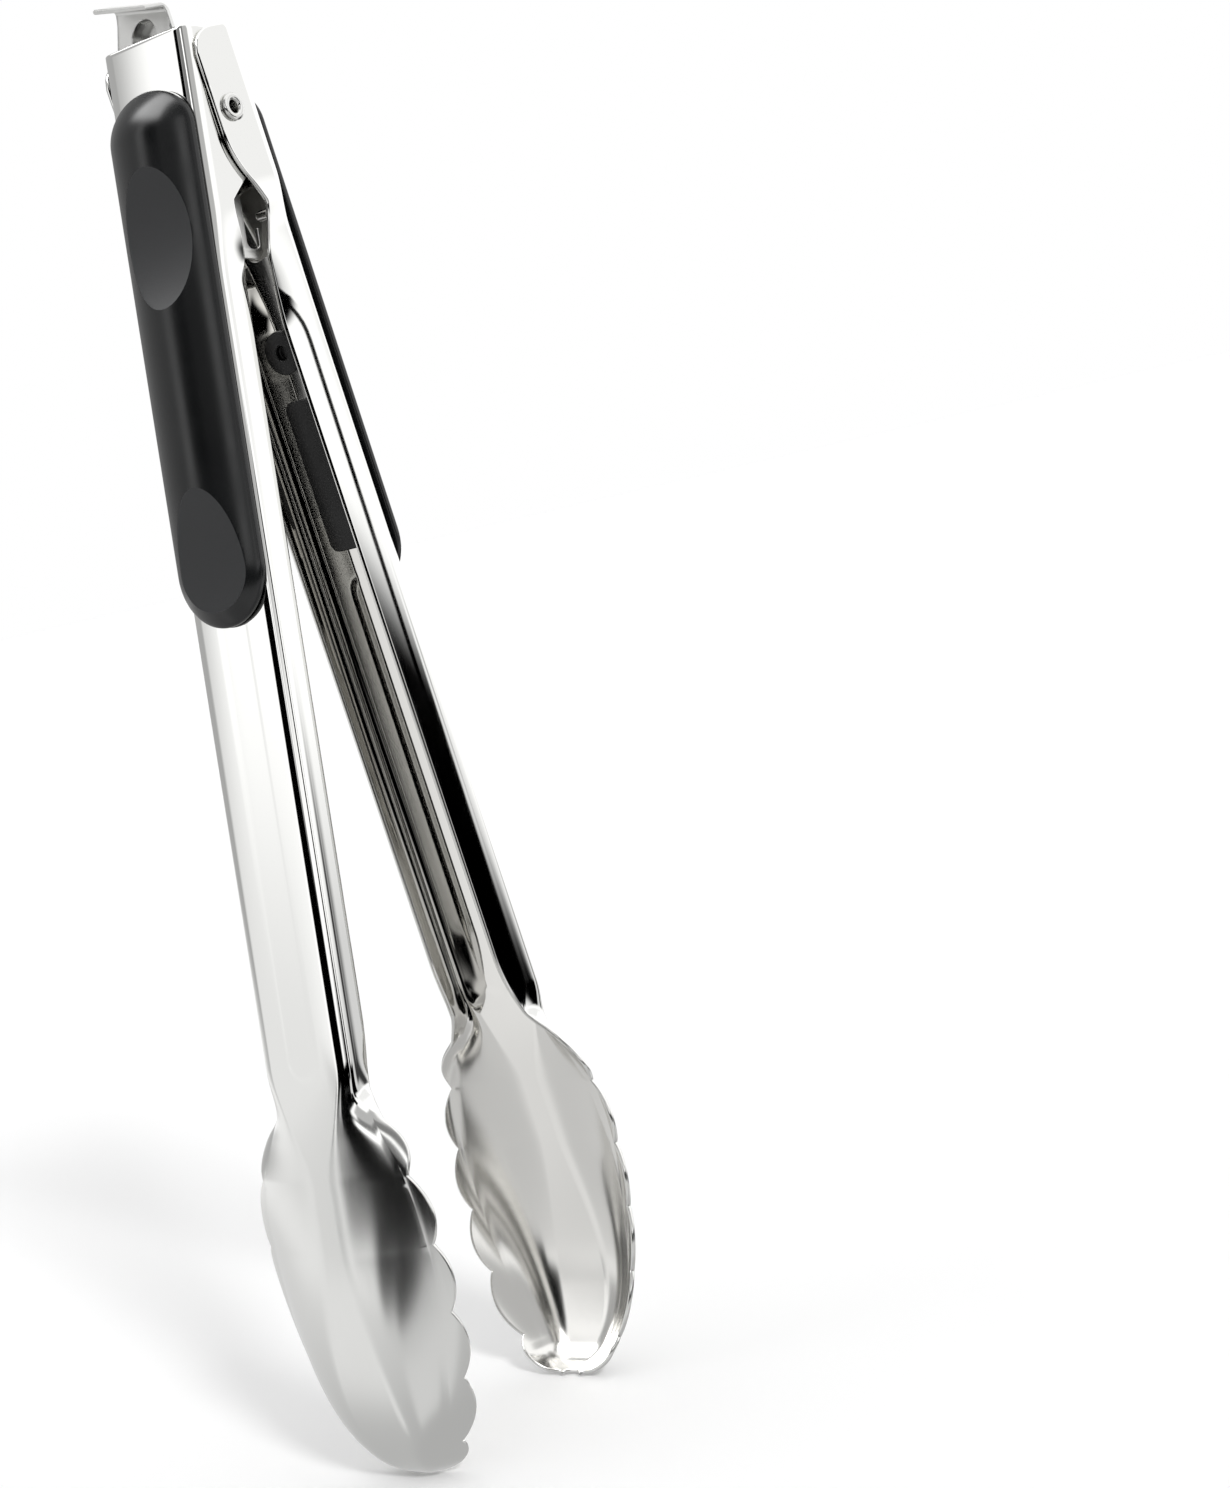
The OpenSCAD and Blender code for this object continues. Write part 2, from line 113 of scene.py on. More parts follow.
RIVET_R = 2.0
RIVET_BORE_R = 1.3
RIVET_HEAD_R = 2.9
RIVET_HEAD = 0.9
RIVET_HALF = ARM_WIDTH / 2 + EAR_STEP + 0.15
RIVET_PLAY = 0.05

WIRE_R = 0.65
COIL_R = 4.0
COILS = 5
SPRING_LEG = 21.0

TAB_RISE = 7.5
STRIP = 1.0
TAB_HALF = 8.7
TAB_TOP_HALF = 7.5
TAB_SLANT = math.radians(13)
LIP_BEND = 0.9
LIP_DROOP = math.radians(14)
LIP = 5.0
HANG_R = 3.7
LOCK_TRAVEL = 4.5
SEAT_GAP = 0.3
STRIP_OUT = WEB_N - SHEET - SEAT_GAP
STRIP_MID = STRIP_OUT - STRIP / 2
TAB_TOP = -PIVOT_DROP - TAB_RISE
HOLE_S = TAB_TOP + STRIP + LIP_BEND + 1.2 + HANG_R

PIN = (22.5, 3.7)
PIN_R = 1.1
PIN_IN = 8.3
CHEEK_TOP = 16.0
CHEEK_OUT = 9.6

GRIP_LENGTH = 112.0
GRIP_START = 6.0
GRIP_HALF = 12.4
GRIP_BLUNT = 0.76
GRIP_RISE = 5.0
GRIP_WALL = 1.2
GRIP_BASE = WEB_N + SEAT_GAP
GRIP_TOP = GRIP_BASE + GRIP_RISE
DOME_R = (GRIP_HALF ** 2 + (GRIP_RISE - GRIP_WALL) ** 2) / (2 * (GRIP_RISE - GRIP_WALL))
# Thumb scoops: place along the arm, radius and depth of the hollow
SCOOPS = ((24.7, 53.0, 2.1), (96.0, 86.0, 2.2))
STUD_S = 51.0
STUD_R = 3.0
STUD_FLANGE = (4.8, 1.8)
PLUG_S = 78.5
PLUG = (34.0, 9.0, 1.6)
POST = (26.0, 5.0)

CA, SA = math.cos(OPEN_ANGLE), math.sin(OPEN_ANGLE)
# The row frame's origin is the centre of the hanging hole
HOLE_X = -(HOLE_S * SA + STRIP_MID * CA)
HOLE_Z = -(HOLE_S * CA - STRIP_MID * SA)


def place(points, side):
    """Points (..., 3) given as s, n, y in mm to the row frame in metres."""
    p = np.asarray(points, float)
    s, n, y = p[..., 0], p[..., 1], p[..., 2]
    x = side * (s * SA + n * CA) - HOLE_X
    z = n * SA - s * CA - HOLE_Z
    return np.stack([x, y, z], axis=-1) * MM


def from_pivot(points):
    """Points (..., 3) in mm from the pivot, in row directions, to the row frame."""
    return (np.asarray(points, float) - [HOLE_X, 0, HOLE_Z]) * MM


# ---------------------------------------------------------------- mesh tools
def unit(v):
    """Vectors cut to length 1."""
    return v / np.maximum(1e-9, np.linalg.norm(v, axis=-1, keepdims=True))


def smooth(x, a, b):
    """0 before a, 1 after b, with an easy curve between."""
    q = np.clip((x - a) / (b - a), 0, 1)
    return q * q * (3 - 2 * q)


def mix(a, b, q):
    """From a to b as q goes from 0 to 1."""
    return a + (b - a) * q


def spaced(a, b, count):
    """Even places from a up to, not including, b."""
    return list(np.linspace(a, b, count, endpoint=False))


def ring_faces(rings, closed=True):
    """Quads between rings of vertex numbers, one ring to the next."""
    faces = []
    for a, b in zip(rings[:-1], rings[1:]):
        count = len(a)
        for k in range(count if closed else count - 1):
            m = (k + 1) % count
            faces.append((int(a[k]), int(a[m]), int(b[m]), int(b[k])))
    return faces


def end_caps(rings):
    """One face over each end of a run of rings."""
    return [tuple(int(v) for v in rings[0][::-1]), tuple(int(v) for v in rings[-1])]


def drawn_in(grid, edge, reach=2.0):
    """Moves the first rows of a grid inward, the very first by edge."""
    steps = np.linalg.norm(np.diff(grid, axis=0), axis=-1)
    away = np.concatenate([np.zeros_like(steps[:1]), np.cumsum(steps, 0)])
    inward = unit(np.gradient(grid, axis=0))
    return grid + inward * (edge * np.clip(1 - away / reach, 0, 1))[..., None]


def sheet_solid(mid, thickness, edge, rounds=5):
    """Solid sheet round a grid of mid points; its cut edges bulge by edge.

    The first half of the grid faces come out on the side the grid's normals point to."""
    rows, cols = mid.shape[:2]
    normal = unit(np.cross(np.gradient(mid, axis=1), np.gradient(mid, axis=0)))
    body = drawn_in(mid, edge)
    body = drawn_in(body[::-1], edge)[::-1]
    body = drawn_in(body.swapaxes(0, 1), edge).swapaxes(0, 1)
    body = drawn_in(body.swapaxes(0, 1)[::-1], edge)[::-1].swapaxes(0, 1)
    half = thickness / 2
    loop = np.array([(0, j) for j in range(cols)] + [(i, cols - 1) for i in range(1, rows)]
                    + [(rows - 1, j) for j in range(cols - 2, -1, -1)]
                    + [(i, 0) for i in range(rows - 2, 0, -1)])
    li, lj = loop[:, 0], loop[:, 1]
    base, reach, up = body[li, lj], mid[li, lj] - body[li, lj], normal[li, lj] * half
    grid = rows * cols
    number = np.arange(grid).reshape(rows, cols)
    points = [(body + normal * half).reshape(-1, 3), (body - normal * half).reshape(-1, 3)]
    rings = [number[li, lj]]
    for k in range(1, rounds):
        turn = math.pi * k / rounds
        points.append(base + up * math.cos(turn) + reach * math.sin(turn))
        rings.append(2 * grid + (k - 1) * len(loop) + np.arange(len(loop)))
    rings.append(grid + number[li, lj])
    front = ring_faces(list(number), closed=False)
    back = [tuple(v + grid for v in reversed(face)) for face in front]
    return np.concatenate(points), front + back + ring_faces(rings)


def rounded(points, radius, steps=5):
    """A closed outline with its corners rounded, by one radius or one for each."""
    pts = [np.array(p, float) for p in points]
    radii = radius if hasattr(radius, "__len__") else [radius] * len(pts)
    out = []
    for k, (p, r) in enumerate(zip(pts, radii)):
        if r <= 0:
            out.append(p)
            continue
        a, b = pts[k - 1] - p, pts[(k + 1) % len(pts)] - p
        la, lb = np.linalg.norm(a), np.linalg.norm(b)
        a, b = a / la, b / lb
        half = math.acos(float(np.clip(a @ b, -1, 1))) / 2
        cut = min(r / math.tan(half), 0.48 * la, 0.48 * lb)
        r = cut * math.tan(half)
        centre = p + unit(a + b) * r / math.sin(half)
        start, end = p + a * cut - centre, p + b * cut - centre
        sweep = math.atan2(start[0] * end[1] - start[1] * end[0], float(start @ end))
        for q in np.linspace(0, sweep, steps + 1):
            c, s = math.cos(q), math.sin(q)
            out.append(centre + np.array([c * start[0] - s * start[1], s * start[0] + c * start[1]]))
    return np.array(out)


def plate(outline, low, high, edge):
    """Flat plate between two heights, the edges of its outline rounded by edge.

    Its points are the outline's two directions, then the height."""
    out = np.array(outline, float)
    ahead, behind = unit(np.roll(out, -1, 0) - out), unit(out - np.roll(out, 1, 0))
    side = ahead + behind
    side /= np.maximum(0.4, (side * ahead).sum(1, keepdims=True))
    normal = np.stack([side[:, 1], -side[:, 0]], 1)
    nxt = np.roll(out, -1, 0)
    normal *= math.copysign(1, np.sum(out[:, 0] * nxt[:, 1] - nxt[:, 0] * out[:, 1]))
    quarter = math.pi / 2
    levels = [(edge * (1 - math.cos(t)), low + edge * (1 + math.sin(t))) for t in np.linspace(-quarter, 0, 4)]
    levels += [(edge * (1 - math.cos(t)), high - edge * (1 - math.sin(t))) for t in np.linspace(0, quarter, 4)]
    points = [np.column_stack([out - normal * inset, np.full(len(out), h)]) for inset, h in levels]
    rings = [np.arange(len(out)) + k * len(out) for k in range(len(levels))]
    return np.concatenate(points), ring_faces(rings) + end_caps(rings)


def lathe(profile, turns=72, bored=True):
    """Turned piece. profile is (radius, height) points, round a bore or axis to axis.

    Its points are the two directions across the axis, then the height."""
    prof = np.array(profile, float)
    angles = 2 * math.pi * np.arange(turns) / turns
    points = np.stack([np.outer(prof[:, 0], np.cos(angles)), np.outer(prof[:, 0], np.sin(angles)),
                       np.repeat(prof[:, 1:2], turns, 1)], -1)
    rings = list(np.arange(len(prof) * turns).reshape(len(prof), turns))
    return points.reshape(-1, 3), ring_faces(rings + rings[:1] if bored else rings)


def through_web(points, s):
    """Turned points stood through the web at a place down the arm."""
    return np.column_stack([points[:, 0] + s, points[:, 2], points[:, 1]])


def wire(path, radius, sides=20):
    """Round wire along a path, its cut ends rounded a little."""
    p = np.array(path, float)
    t = unit(np.gradient(p, axis=0))
    side = unit(np.array([0, 1, 0]) - t * t[:, 1:2])
    other = np.cross(t, side)
    blunt = 0.3
    soft = blunt * radius
    p[0] += t[0] * soft
    p[-1] -= t[-1] * soft
    turns = (0.0, 0.5, 1.0)
    stops = [(p[0] - t[0] * soft * math.cos(a), 1 - blunt * (1 - math.sin(a)), 0) for a in turns]
    stops += [(p[k], 1.0, k) for k in range(len(p))]
    stops += [(p[-1] + t[-1] * soft * math.cos(a), 1 - blunt * (1 - math.sin(a)), -1) for a in turns[::-1]]
    angles = 2 * math.pi * np.arange(sides) / sides
    points = [c + radius * q * (np.outer(np.cos(angles), side[k]) + np.outer(np.sin(angles), other[k]))
              for c, q, k in stops]
    rings = list(np.arange(len(points) * sides).reshape(len(points), sides))
    return np.concatenate(points), ring_faces(rings) + end_caps(rings)


def new_piece(name, points, faces, *finishes):
    """Closed mesh piece with its faces turned outward."""
    mesh = bpy.data.meshes.new(name)
    mesh.from_pydata([tuple(p) for p in points], [], faces)
    work = bmesh.new()
    work.from_mesh(mesh)
    bmesh.ops.remove_doubles(work, verts=work.verts, dist=1e-7)
    bmesh.ops.recalc_face_normals(work, faces=work.faces)
    work.to_mesh(mesh)
    work.free()
    for finish in finishes:
        mesh.materials.append(finish)
    piece = bpy.data.objects.new(name, mesh)
    bpy.context.scene.collection.objects.link(piece)
    return piece


def combine(piece, other, operation):
    """Joins or cuts two closed pieces; the second one is used up."""
    step = piece.modifiers.new(operation.lower(), "BOOLEAN")
    step.operation = operation
    step.solver = "EXACT"
    step.material_mode = "TRANSFER"
    step.object = other
    graph = bpy.context.evaluated_depsgraph_get()
    made = bpy.data.meshes.new_from_object(piece.evaluated_get(graph))
    piece.modifiers.clear()
    piece.data = made
    bpy.data.objects.remove(other)


def shade(piece, angle):
    """Smooth shading, with bends sharper than angle kept crisp."""
    piece.data.shade_smooth()
    piece.data.set_sharp_from_angle(angle=math.radians(angle))


def fit(piece, body, slot, *nodes):
    """Gives a piece its body and hides the solids it stands for; the finish slot argument is not used."""
    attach(piece, body)
    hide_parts(*nodes)


# ---------------------------------------------------------------- finishes
def linear(code):
    """sRGB hex to linear RGBA."""
    parts = [int(code[k:k + 2], 16) / 255 for k in (1, 3, 5)]
    return tuple(c / 12.92 if c <= 0.04045 else ((c + 0.055) / 1.055) ** 2.4 for c in parts) + (1.0,)


def add(tree, kind, links=None, **settings):
    """Adds a node. settings are its own options or, as in_Name or in_0, its input values."""
    node = tree.nodes.new(kind)
    for key, value in settings.items():
        if key.startswith("in_"):
            name = key[3:]
            node.inputs[int(name) if name.isdigit() else name.replace("_", " ")].default_value = value
        else:
            setattr(node, key, value)
    for name, socket in (links or {}).items():
        tree.links.new(socket, node.inputs[name])
    return node


def finish_base(name, **uniform):
    """A new material, its tree and its Principled shader, with uniform values on the sockets."""
    material = bpy.data.materials.new(name)
    material.use_nodes = True
    tree = material.node_tree
    tree.nodes.clear()
    shader = add(tree, "ShaderNodeBsdfPrincipled", **uniform)
    add(tree, "ShaderNodeOutputMaterial", {"Surface": shader.outputs[0]})
    return material, tree, shader


def along_arm(tree, across, along):
    """Object place stretched into long streaks down the piece; sizes in mm."""
    place_in = add(tree, "ShaderNodeTexCoord")
    return add(tree, "ShaderNodeMapping", {"Vector": place_in.outputs["Object"]},
               in_Scale=(1 / (across * MM), 1 / (across * MM), 1 / (along * MM)))


def steel_finish(name, tint, rough, streak_rough, streak=(0.5, 30.0), dent=0.0, satin=0.0, **uniform):
    """Stainless steel: one tint, with polishing streaks that only touch the gloss.

    satin is the extra roughness of the blasted heads, coming in over the neck."""
    material, tree, shader = finish_base(name, in_Metallic=1.0, in_Base_Color=linear(tint), **uniform)
    streaks = add(tree, "ShaderNodeTexNoise", {"Vector": along_arm(tree, *streak).outputs[0]},
                  in_Scale=1.0, in_Detail=3.0, in_Roughness=0.6)
    cloud = add(tree, "ShaderNodeTexNoise", {"Vector": along_arm(tree, 14.0, 22.0).outputs[0]},
                in_Scale=1.0, in_Detail=2.0)
    both = add(tree, "ShaderNodeMath", {0: streaks.outputs["Fac"], 1: cloud.outputs["Fac"]},
               operation="MULTIPLY")
    gloss = add(tree, "ShaderNodeMapRange", {"Value": both.outputs[0]}, in_From_Min=0.12, in_From_Max=0.42,
                in_To_Min=rough, in_To_Max=streak_rough)
    rough_out = gloss.outputs[0]
    if satin:
        spot = add(tree, "ShaderNodeSeparateXYZ", {0: add(tree, "ShaderNodeTexCoord").outputs["Object"]})
        start, full = (float(place([s, 0, 0], LEFT)[2]) for s in (NECK_S - 10, NECK_S + 18))
        head = add(tree, "ShaderNodeMapRange", {"Value": spot.outputs["Z"]}, interpolation_type="SMOOTHSTEP",
                   in_From_Min=start, in_From_Max=full, in_To_Min=0.0, in_To_Max=satin)
        rough_out = add(tree, "ShaderNodeMath", {0: rough_out, 1: head.outputs[0]}).outputs[0]
    tree.links.new(rough_out, shader.inputs["Roughness"])
    if dent:
        bump = add(tree, "ShaderNodeBump", {"Height": streaks.outputs["Fac"]}, in_Strength=0.5,
                   in_Distance=dent * MM)
        tree.links.new(bump.outputs[0], shader.inputs["Normal"])
    return material


# Arms are bright annealed 18/8 stainless sheet, pressed and then buffed: near mirror,
# with faint lines from the mop running down the arm. The heads are blasted to a satin.
polished_steel = steel_finish("Buffed stainless sheet", "#e2e2e0", 0.03, 0.06, dent=0.0004, satin=0.13)
# Inside the channel the mop does not reach, so the sheet keeps the even gloss of the
# rolling mill, with the same satin over the head.
channel_steel = steel_finish("Mill gloss channel", "#dfdedb", 0.025, 0.045, dent=0.0002, satin=0.13)
# The lock bar is plain strip, blanked and tumbled: softer gloss, no lines.
strip_steel = steel_finish("Tumbled stainless strip", "#d2d2d0", 0.28, 0.38, streak=(2.0, 3.0), dent=0.004)
# Rivets and pins are turned from bright bar.
rivet_steel = steel_finish("Bright rivet steel", "#d2d2d0", 0.12, 0.2, streak=(1.2, 1.2), dent=0.003)
# Hard drawn spring wire, a little darker from heat setting.
spring_steel = steel_finish("Drawn spring wire", "#b4b2ae", 0.2, 0.32, streak=(1.0, 4.0), dent=0.004)


def plastic_finish(name, tint, worn_tint, rough, worn_rough, grain, depth, **uniform):
    """Moulded plastic: a fine moulded grain, and cloudy wear in colour and gloss."""
    material, tree, shader = finish_base(name, in_IOR=1.49, **uniform)
    place_in = add(tree, "ShaderNodeTexCoord").outputs["Object"]
    cloud = add(tree, "ShaderNodeTexNoise", {"Vector": place_in}, in_Scale=1 / (9 * MM), in_Detail=4.0)
    colour = add(tree, "ShaderNodeMix", {"Factor": cloud.outputs["Fac"]}, data_type="RGBA")
    colour.inputs[6].default_value, colour.inputs[7].default_value = linear(tint), linear(worn_tint)
    tree.links.new(colour.outputs[2], shader.inputs["Base Color"])
    gloss = add(tree, "ShaderNodeMapRange", {"Value": cloud.outputs["Fac"]}, in_From_Min=0.3,
                in_From_Max=0.7, in_To_Min=rough, in_To_Max=worn_rough)
    tree.links.new(gloss.outputs[0], shader.inputs["Roughness"])
    skin = add(tree, "ShaderNodeTexNoise", {"Vector": place_in}, in_Scale=1 / (grain * MM), in_Detail=2.0)
    bump = add(tree, "ShaderNodeBump", {"Height": skin.outputs["Fac"]}, in_Strength=0.6, in_Distance=depth * MM)
    tree.links.new(bump.outputs[0], shader.inputs["Normal"])
    return material


# Grips are moulded black nylon from a polished tool: soft gloss that picks up grey lights.
grip_nylon = plastic_finish("Black moulded nylon", "#0b0c0d", "#0f1011", 0.19, 0.25, 1.2, 0.004)
# The scoops come from a spark-eroded part of the tool: an even matt grain, drawn at 0.4 mm.
scoop_nylon = plastic_finish("Matt scoop nylon", "#17181a", "#1b1c1e", 0.36, 0.42, 0.4, 0.02)
# Studs and plugs behind the web are plain dull moulded nylon.
fixing_nylon = plastic_finish("Dull fixing nylon", "#0b0b0c", "#101011", 0.42, 0.5, 0.6, 0.012)


# ---------------------------------------------------------------- arms
def envelope(s):
    """Half width of the head through its notches."""
    q, peak = np.clip((s - NECK_S) / HEAD, 0, 1), 0.42
    rise = mix(HALF_MID - 1, HEAD_HALF, 1 - np.clip(1 - q / peak, 0, 1) ** 2.2)
    fall = HEAD_HALF * np.sqrt(np.clip(1 - np.clip((q - peak) / (1 - peak), 0, 1) ** 2.3, 0, 1))
    return np.where(q < peak, rise, fall)


def lobe(s):
    """How far the lobes stand out past the notches, the long shoulder lobe first."""
    start = NECK_S + 7
    shoulder = LOBE * np.sin(np.pi * np.clip((s - start) / (FIRST_NOTCH - start), 0, 1))
    side = LOBE * np.abs(np.sin(np.pi * (s - FIRST_NOTCH) / LOBE_PITCH)) ** 0.8
    return np.where(s < FIRST_NOTCH, shoulder, side)


def head_half(s):
    """Half width of the head with its lobes and its round tip."""
    q = np.clip((s - LAST_NOTCH) / (TIP_S - LAST_NOTCH), 0, 1)
    tip = (envelope(LAST_NOTCH) + 0.3) * np.sqrt(np.maximum(0.03, 1 - q * q))
    return np.where(s > LAST_NOTCH, tip, envelope(s) + lobe(s))


def ear_edge(s, outer):
    """Height of an ear's free edge; the outer one turns up in one soft curve."""
    if outer:
        start, curve, slope = OUTER_EAR
        past = np.clip(s - start, 0, curve)
        rise = slope * (past * past / (2 * curve) + np.maximum(0, s - start - curve))
    else:
        start, slope, top_slope = INNER_EAR
        rise = slope * np.maximum(0, s - start) + top_slope * np.maximum(0, -s)
    return np.minimum(EAR_TOP, rise - EAR_REACH)


def head_rim(s):
    """Height of the cup's rim, falling from the neck to the tip."""
    q = (s - NECK_S) / HEAD
    return mix(WEB_MID - 1.9, -TIP_DROP, 0.32 * q + 0.68 * q * q)


def fullness(s):
    """How far the smooth cup would reach past its notches."""
    return LOBE * smooth(s, NECK_S - 4, NECK_S + 12)


def rim_height(s, outer):
    """Height of the free edge before the lobes are cut."""
    flange = mix(ear_edge(s, outer), RIM_N, smooth(s, 20, 32))
    flange = mix(flange, head_rim(FIRST_NOTCH), smooth(s, NECK_S - 15, FIRST_NOTCH))
    return np.where(s > FIRST_NOTCH, head_rim(s), flange) - LOBE_CURL * fullness(s)


def centre_height(s):
    """Height of the web's middle line, which drops round the tip."""
    q = np.clip(((s - NECK_S) / HEAD - 0.3) / 0.7, 0, 1)
    return mix(-TIP_DROP, WEB_MID, np.sqrt(np.maximum(0, 1 - q ** 2.6)))


def bead_depth(s, y):
    """How far the pressed bead stands into the channel."""
    along = np.maximum(0, np.maximum(BEAD[0] - s, s - BEAD[1]))
    return BEAD_RISE * (1 - smooth(np.hypot(along, y), BEAD_HALF - 1.2, BEAD_HALF))


def top_shift(n, outer):
    """How far down the arm its top end starts: round at the ears, and low on the outer web."""
    q = np.clip((1.5 - n) / (EAR_REACH + 1.5), 0, 1)
    ear = (5 if outer else 7) * (1 - np.sqrt(1 - q * q))
    return ear + (3.8 * np.clip((n - 5.2) / 3.3, 0, 1) ** 2 if outer else 0)


def arm_rows():
    """Places down the arm: close at the ears, bead ends, neck and lobes."""
    rows = spaced(-PIVOT_DROP, 40, 76) + spaced(40, 100, 30) + spaced(100, 113, 18)
    rows += spaced(113, 188, 38) + spaced(188, FIRST_NOTCH, 50)
    for k in range(SIDE_LOBES):
        start = FIRST_NOTCH + k * LOBE_PITCH
        rows += [start + LOBE_PITCH * (1 - math.cos(math.pi * q)) / 2 for q in spaced(0, 1, 18)]
    rows += [LAST_NOTCH + (TIP_S - LAST_NOTCH) * math.sin(q) for q in np.linspace(0, math.radians(85.2), 18)]
    return np.array(rows)


def arm_grid(outer):
    """Mid surface of an arm: rows down it, columns from free edge to free edge."""
    s = arm_rows()
    web, bend, flange = 20, 12, 14
    step = EAR_STEP * (1 - smooth(s, 14, 26)) if outer else 0 * s
    # The cup is drawn smooth, then its edge is cut to the lobes
    full = np.maximum(envelope(s) + fullness(s), np.where(s > LAST_NOTCH, head_half(s), 0))
    toward_tip = smooth(s, NECK_S + 25, LAST_NOTCH)
    corner = mix(HALF_MID + step, mix(0.5, 0.64, toward_tip) * full, smooth(s, NECK_S - 6, NECK_S + 22))
    centre = centre_height(s)
    rim_n = rim_height(s, outer)
    lean = smooth(s, 20, 48) if outer else smooth(s, 20, 36)
    straight = HALF_MID + step - FLANGE_LEAN * lean * (WEB_MID - rim_n) / FLANGE
    opening = smooth(s, NECK_S - 6, NECK_S + 10)
    rim_y = mix(straight, full, opening)
    bend_r = mix(BEND, mix(0.42, 0.3, toward_tip) * full, smooth(s, NECK_S - 4, NECK_S + 22))
    dy, dn = rim_y - corner, rim_n - centre
    leg = np.hypot(dy, dn)
    r = np.minimum(bend_r, np.minimum(0.8 * leg, 0.8 * corner))
    end_y, end_n = corner + r * dy / leg, centre + r * dn / leg
    kept = 1 - np.clip(1.25 * opening * (full - head_half(s)) / (leg - r), 0, 0.7)
    ys = [(corner - r) * k / web for k in range(web + 1)]
    ns = [centre for k in range(web + 1)]
    for q in np.linspace(0, 1, bend + 1)[1:]:
        ys.append((1 - q) ** 2 * (corner - r) + 2 * q * (1 - q) * corner + q * q * end_y)
        ns.append((1 - q * q) * centre + q * q * end_n)
    # The pressed flange stands a little proud along its middle
    proud = mix(FLANGE_BULGE * smooth(s, 20, 40), HEAD_BULGE, smooth(s, NECK_S - 10, NECK_S + 20)) / leg
    for q in np.linspace(0, 1, flange + 1)[1:]:
        q = q * kept
        ys.append(mix(end_y, rim_y, q) - proud * 4 * q * (1 - q) * dn)
        ns.append(mix(end_n, rim_n, q) + proud * 4 * q * (1 - q) * dy)
    y, n = np.stack(ys, 1), np.stack(ns, 1)
    # Pressing leaves the web a hair lower beside the bends than along its middle
    fall = CROWN * (1 - smooth(s, NECK_S - 12, NECK_S + 12))[:, None] * np.clip(y / corner[:, None], 0, 1) ** 2
    fall[:, web:] *= np.linspace(1, 0, bend + flange + 1)
    n -= fall
    flat_n = n.copy()
    n[:, :web + 1] -= bead_depth(s[:, None], y[:, :web + 1])
    fade = np.clip(1 - (s + PIVOT_DROP - 0.2) / 16, 0, 1)[:, None]
    down = s[:, None] + top_shift(flat_n, outer) * fade
    half = np.stack([down, n, y], -1)
    other = half[:, :0:-1] * [1, 1, -1]
    return np.concatenate([other, half], 1)


def plug_outline(length, width, corner):
    """Oblong with round corners about the plug's place on the web."""
    signs = ((-1, -1), (1, -1), (1, 1), (-1, 1))
    return rounded([(PLUG_S + a * length / 2, b * width / 2) for a, b in signs], corner)


def make_arm(side):
    """Pressed arm with the holes for the rivet, the grip stud and the grip plug."""
    grid = arm_grid(side == RIGHT)
    points, faces = sheet_solid(grid, SHEET, SHEET_EDGE)
    arm = new_piece(SIDE_NAME[side] + "_arm_shell", place(points, side), faces, polished_steel, channel_steel)
    # The second half of the sheet's big faces line the channel, where the mop cannot reach
    big = (len(grid) - 1) * (grid.shape[1] - 1)
    for face in arm.data.polygons[big:2 * big]:
        face.material_index = 1
    hole_r, low, high = RIVET_R + RIVET_PLAY, -20, 20
    points, faces = lathe([(0, low), (hole_r, low), (hole_r, high), (0, high)], bored=False)
    cutters = [(from_pivot(points[:, [0, 2, 1]]), faces)]
    hole_r, low, high = STUD_R + SEAT_GAP, 5, 12
    points, faces = lathe([(0, low), (hole_r, low), (hole_r, high), (0, high)], bored=False)
    cutters.append((place(through_web(points, STUD_S), side), faces))
    slot = plug_outline(POST[0] + 2 * SEAT_GAP, POST[1] + 2 * SEAT_GAP, 0.4)
    points, faces = plate(slot, low, high, 0.01)
    cutters.append((place(points[:, [0, 2, 1]], side), faces))
    for points, faces in cutters:
        combine(arm, new_piece("cutter", points, faces, polished_steel), "DIFFERENCE")
    shade(arm, 40)
    fit(arm, SIDE_NAME[side] + "_arm", "polished_steel", SIDE_NAME[side] + "_arm")


# ---------------------------------------------------------------- rivet and spring
def make_rivet():
    """Tubular rivet, its ends rolled over the outer ears."""
    top = RIVET_HALF + RIVET_HEAD
    side = [(RIVET_BORE_R, top - 0.7), (RIVET_BORE_R + 0.12, top - 0.32), (RIVET_BORE_R + 0.42, top - 0.08),
            (RIVET_BORE_R + 0.8, top), (RIVET_HEAD_R - 0.55, top - 0.03), (RIVET_HEAD_R - 0.2, top - 0.2),
            (RIVET_HEAD_R - 0.03, top - 0.42), (RIVET_HEAD_R, top - 0.6), (RIVET_HEAD_R - 0.06, top - 0.78),
            (RIVET_HEAD_R - 0.22, RIVET_HALF + 0.01), (RIVET_R + 0.15, RIVET_HALF + 0.01),
            (RIVET_R, RIVET_HALF - 0.15)]
    profile = side + [(r, -h) for r, h in reversed(side)]
    points, faces = lathe(profile)
    rivet = new_piece("pivot_rivet_rolled", from_pivot(points[:, [0, 2, 1]]), faces, rivet_steel)
    shade(rivet, 50)
    fit(rivet, "left_arm", "rivet_steel", "pivot_rivet")


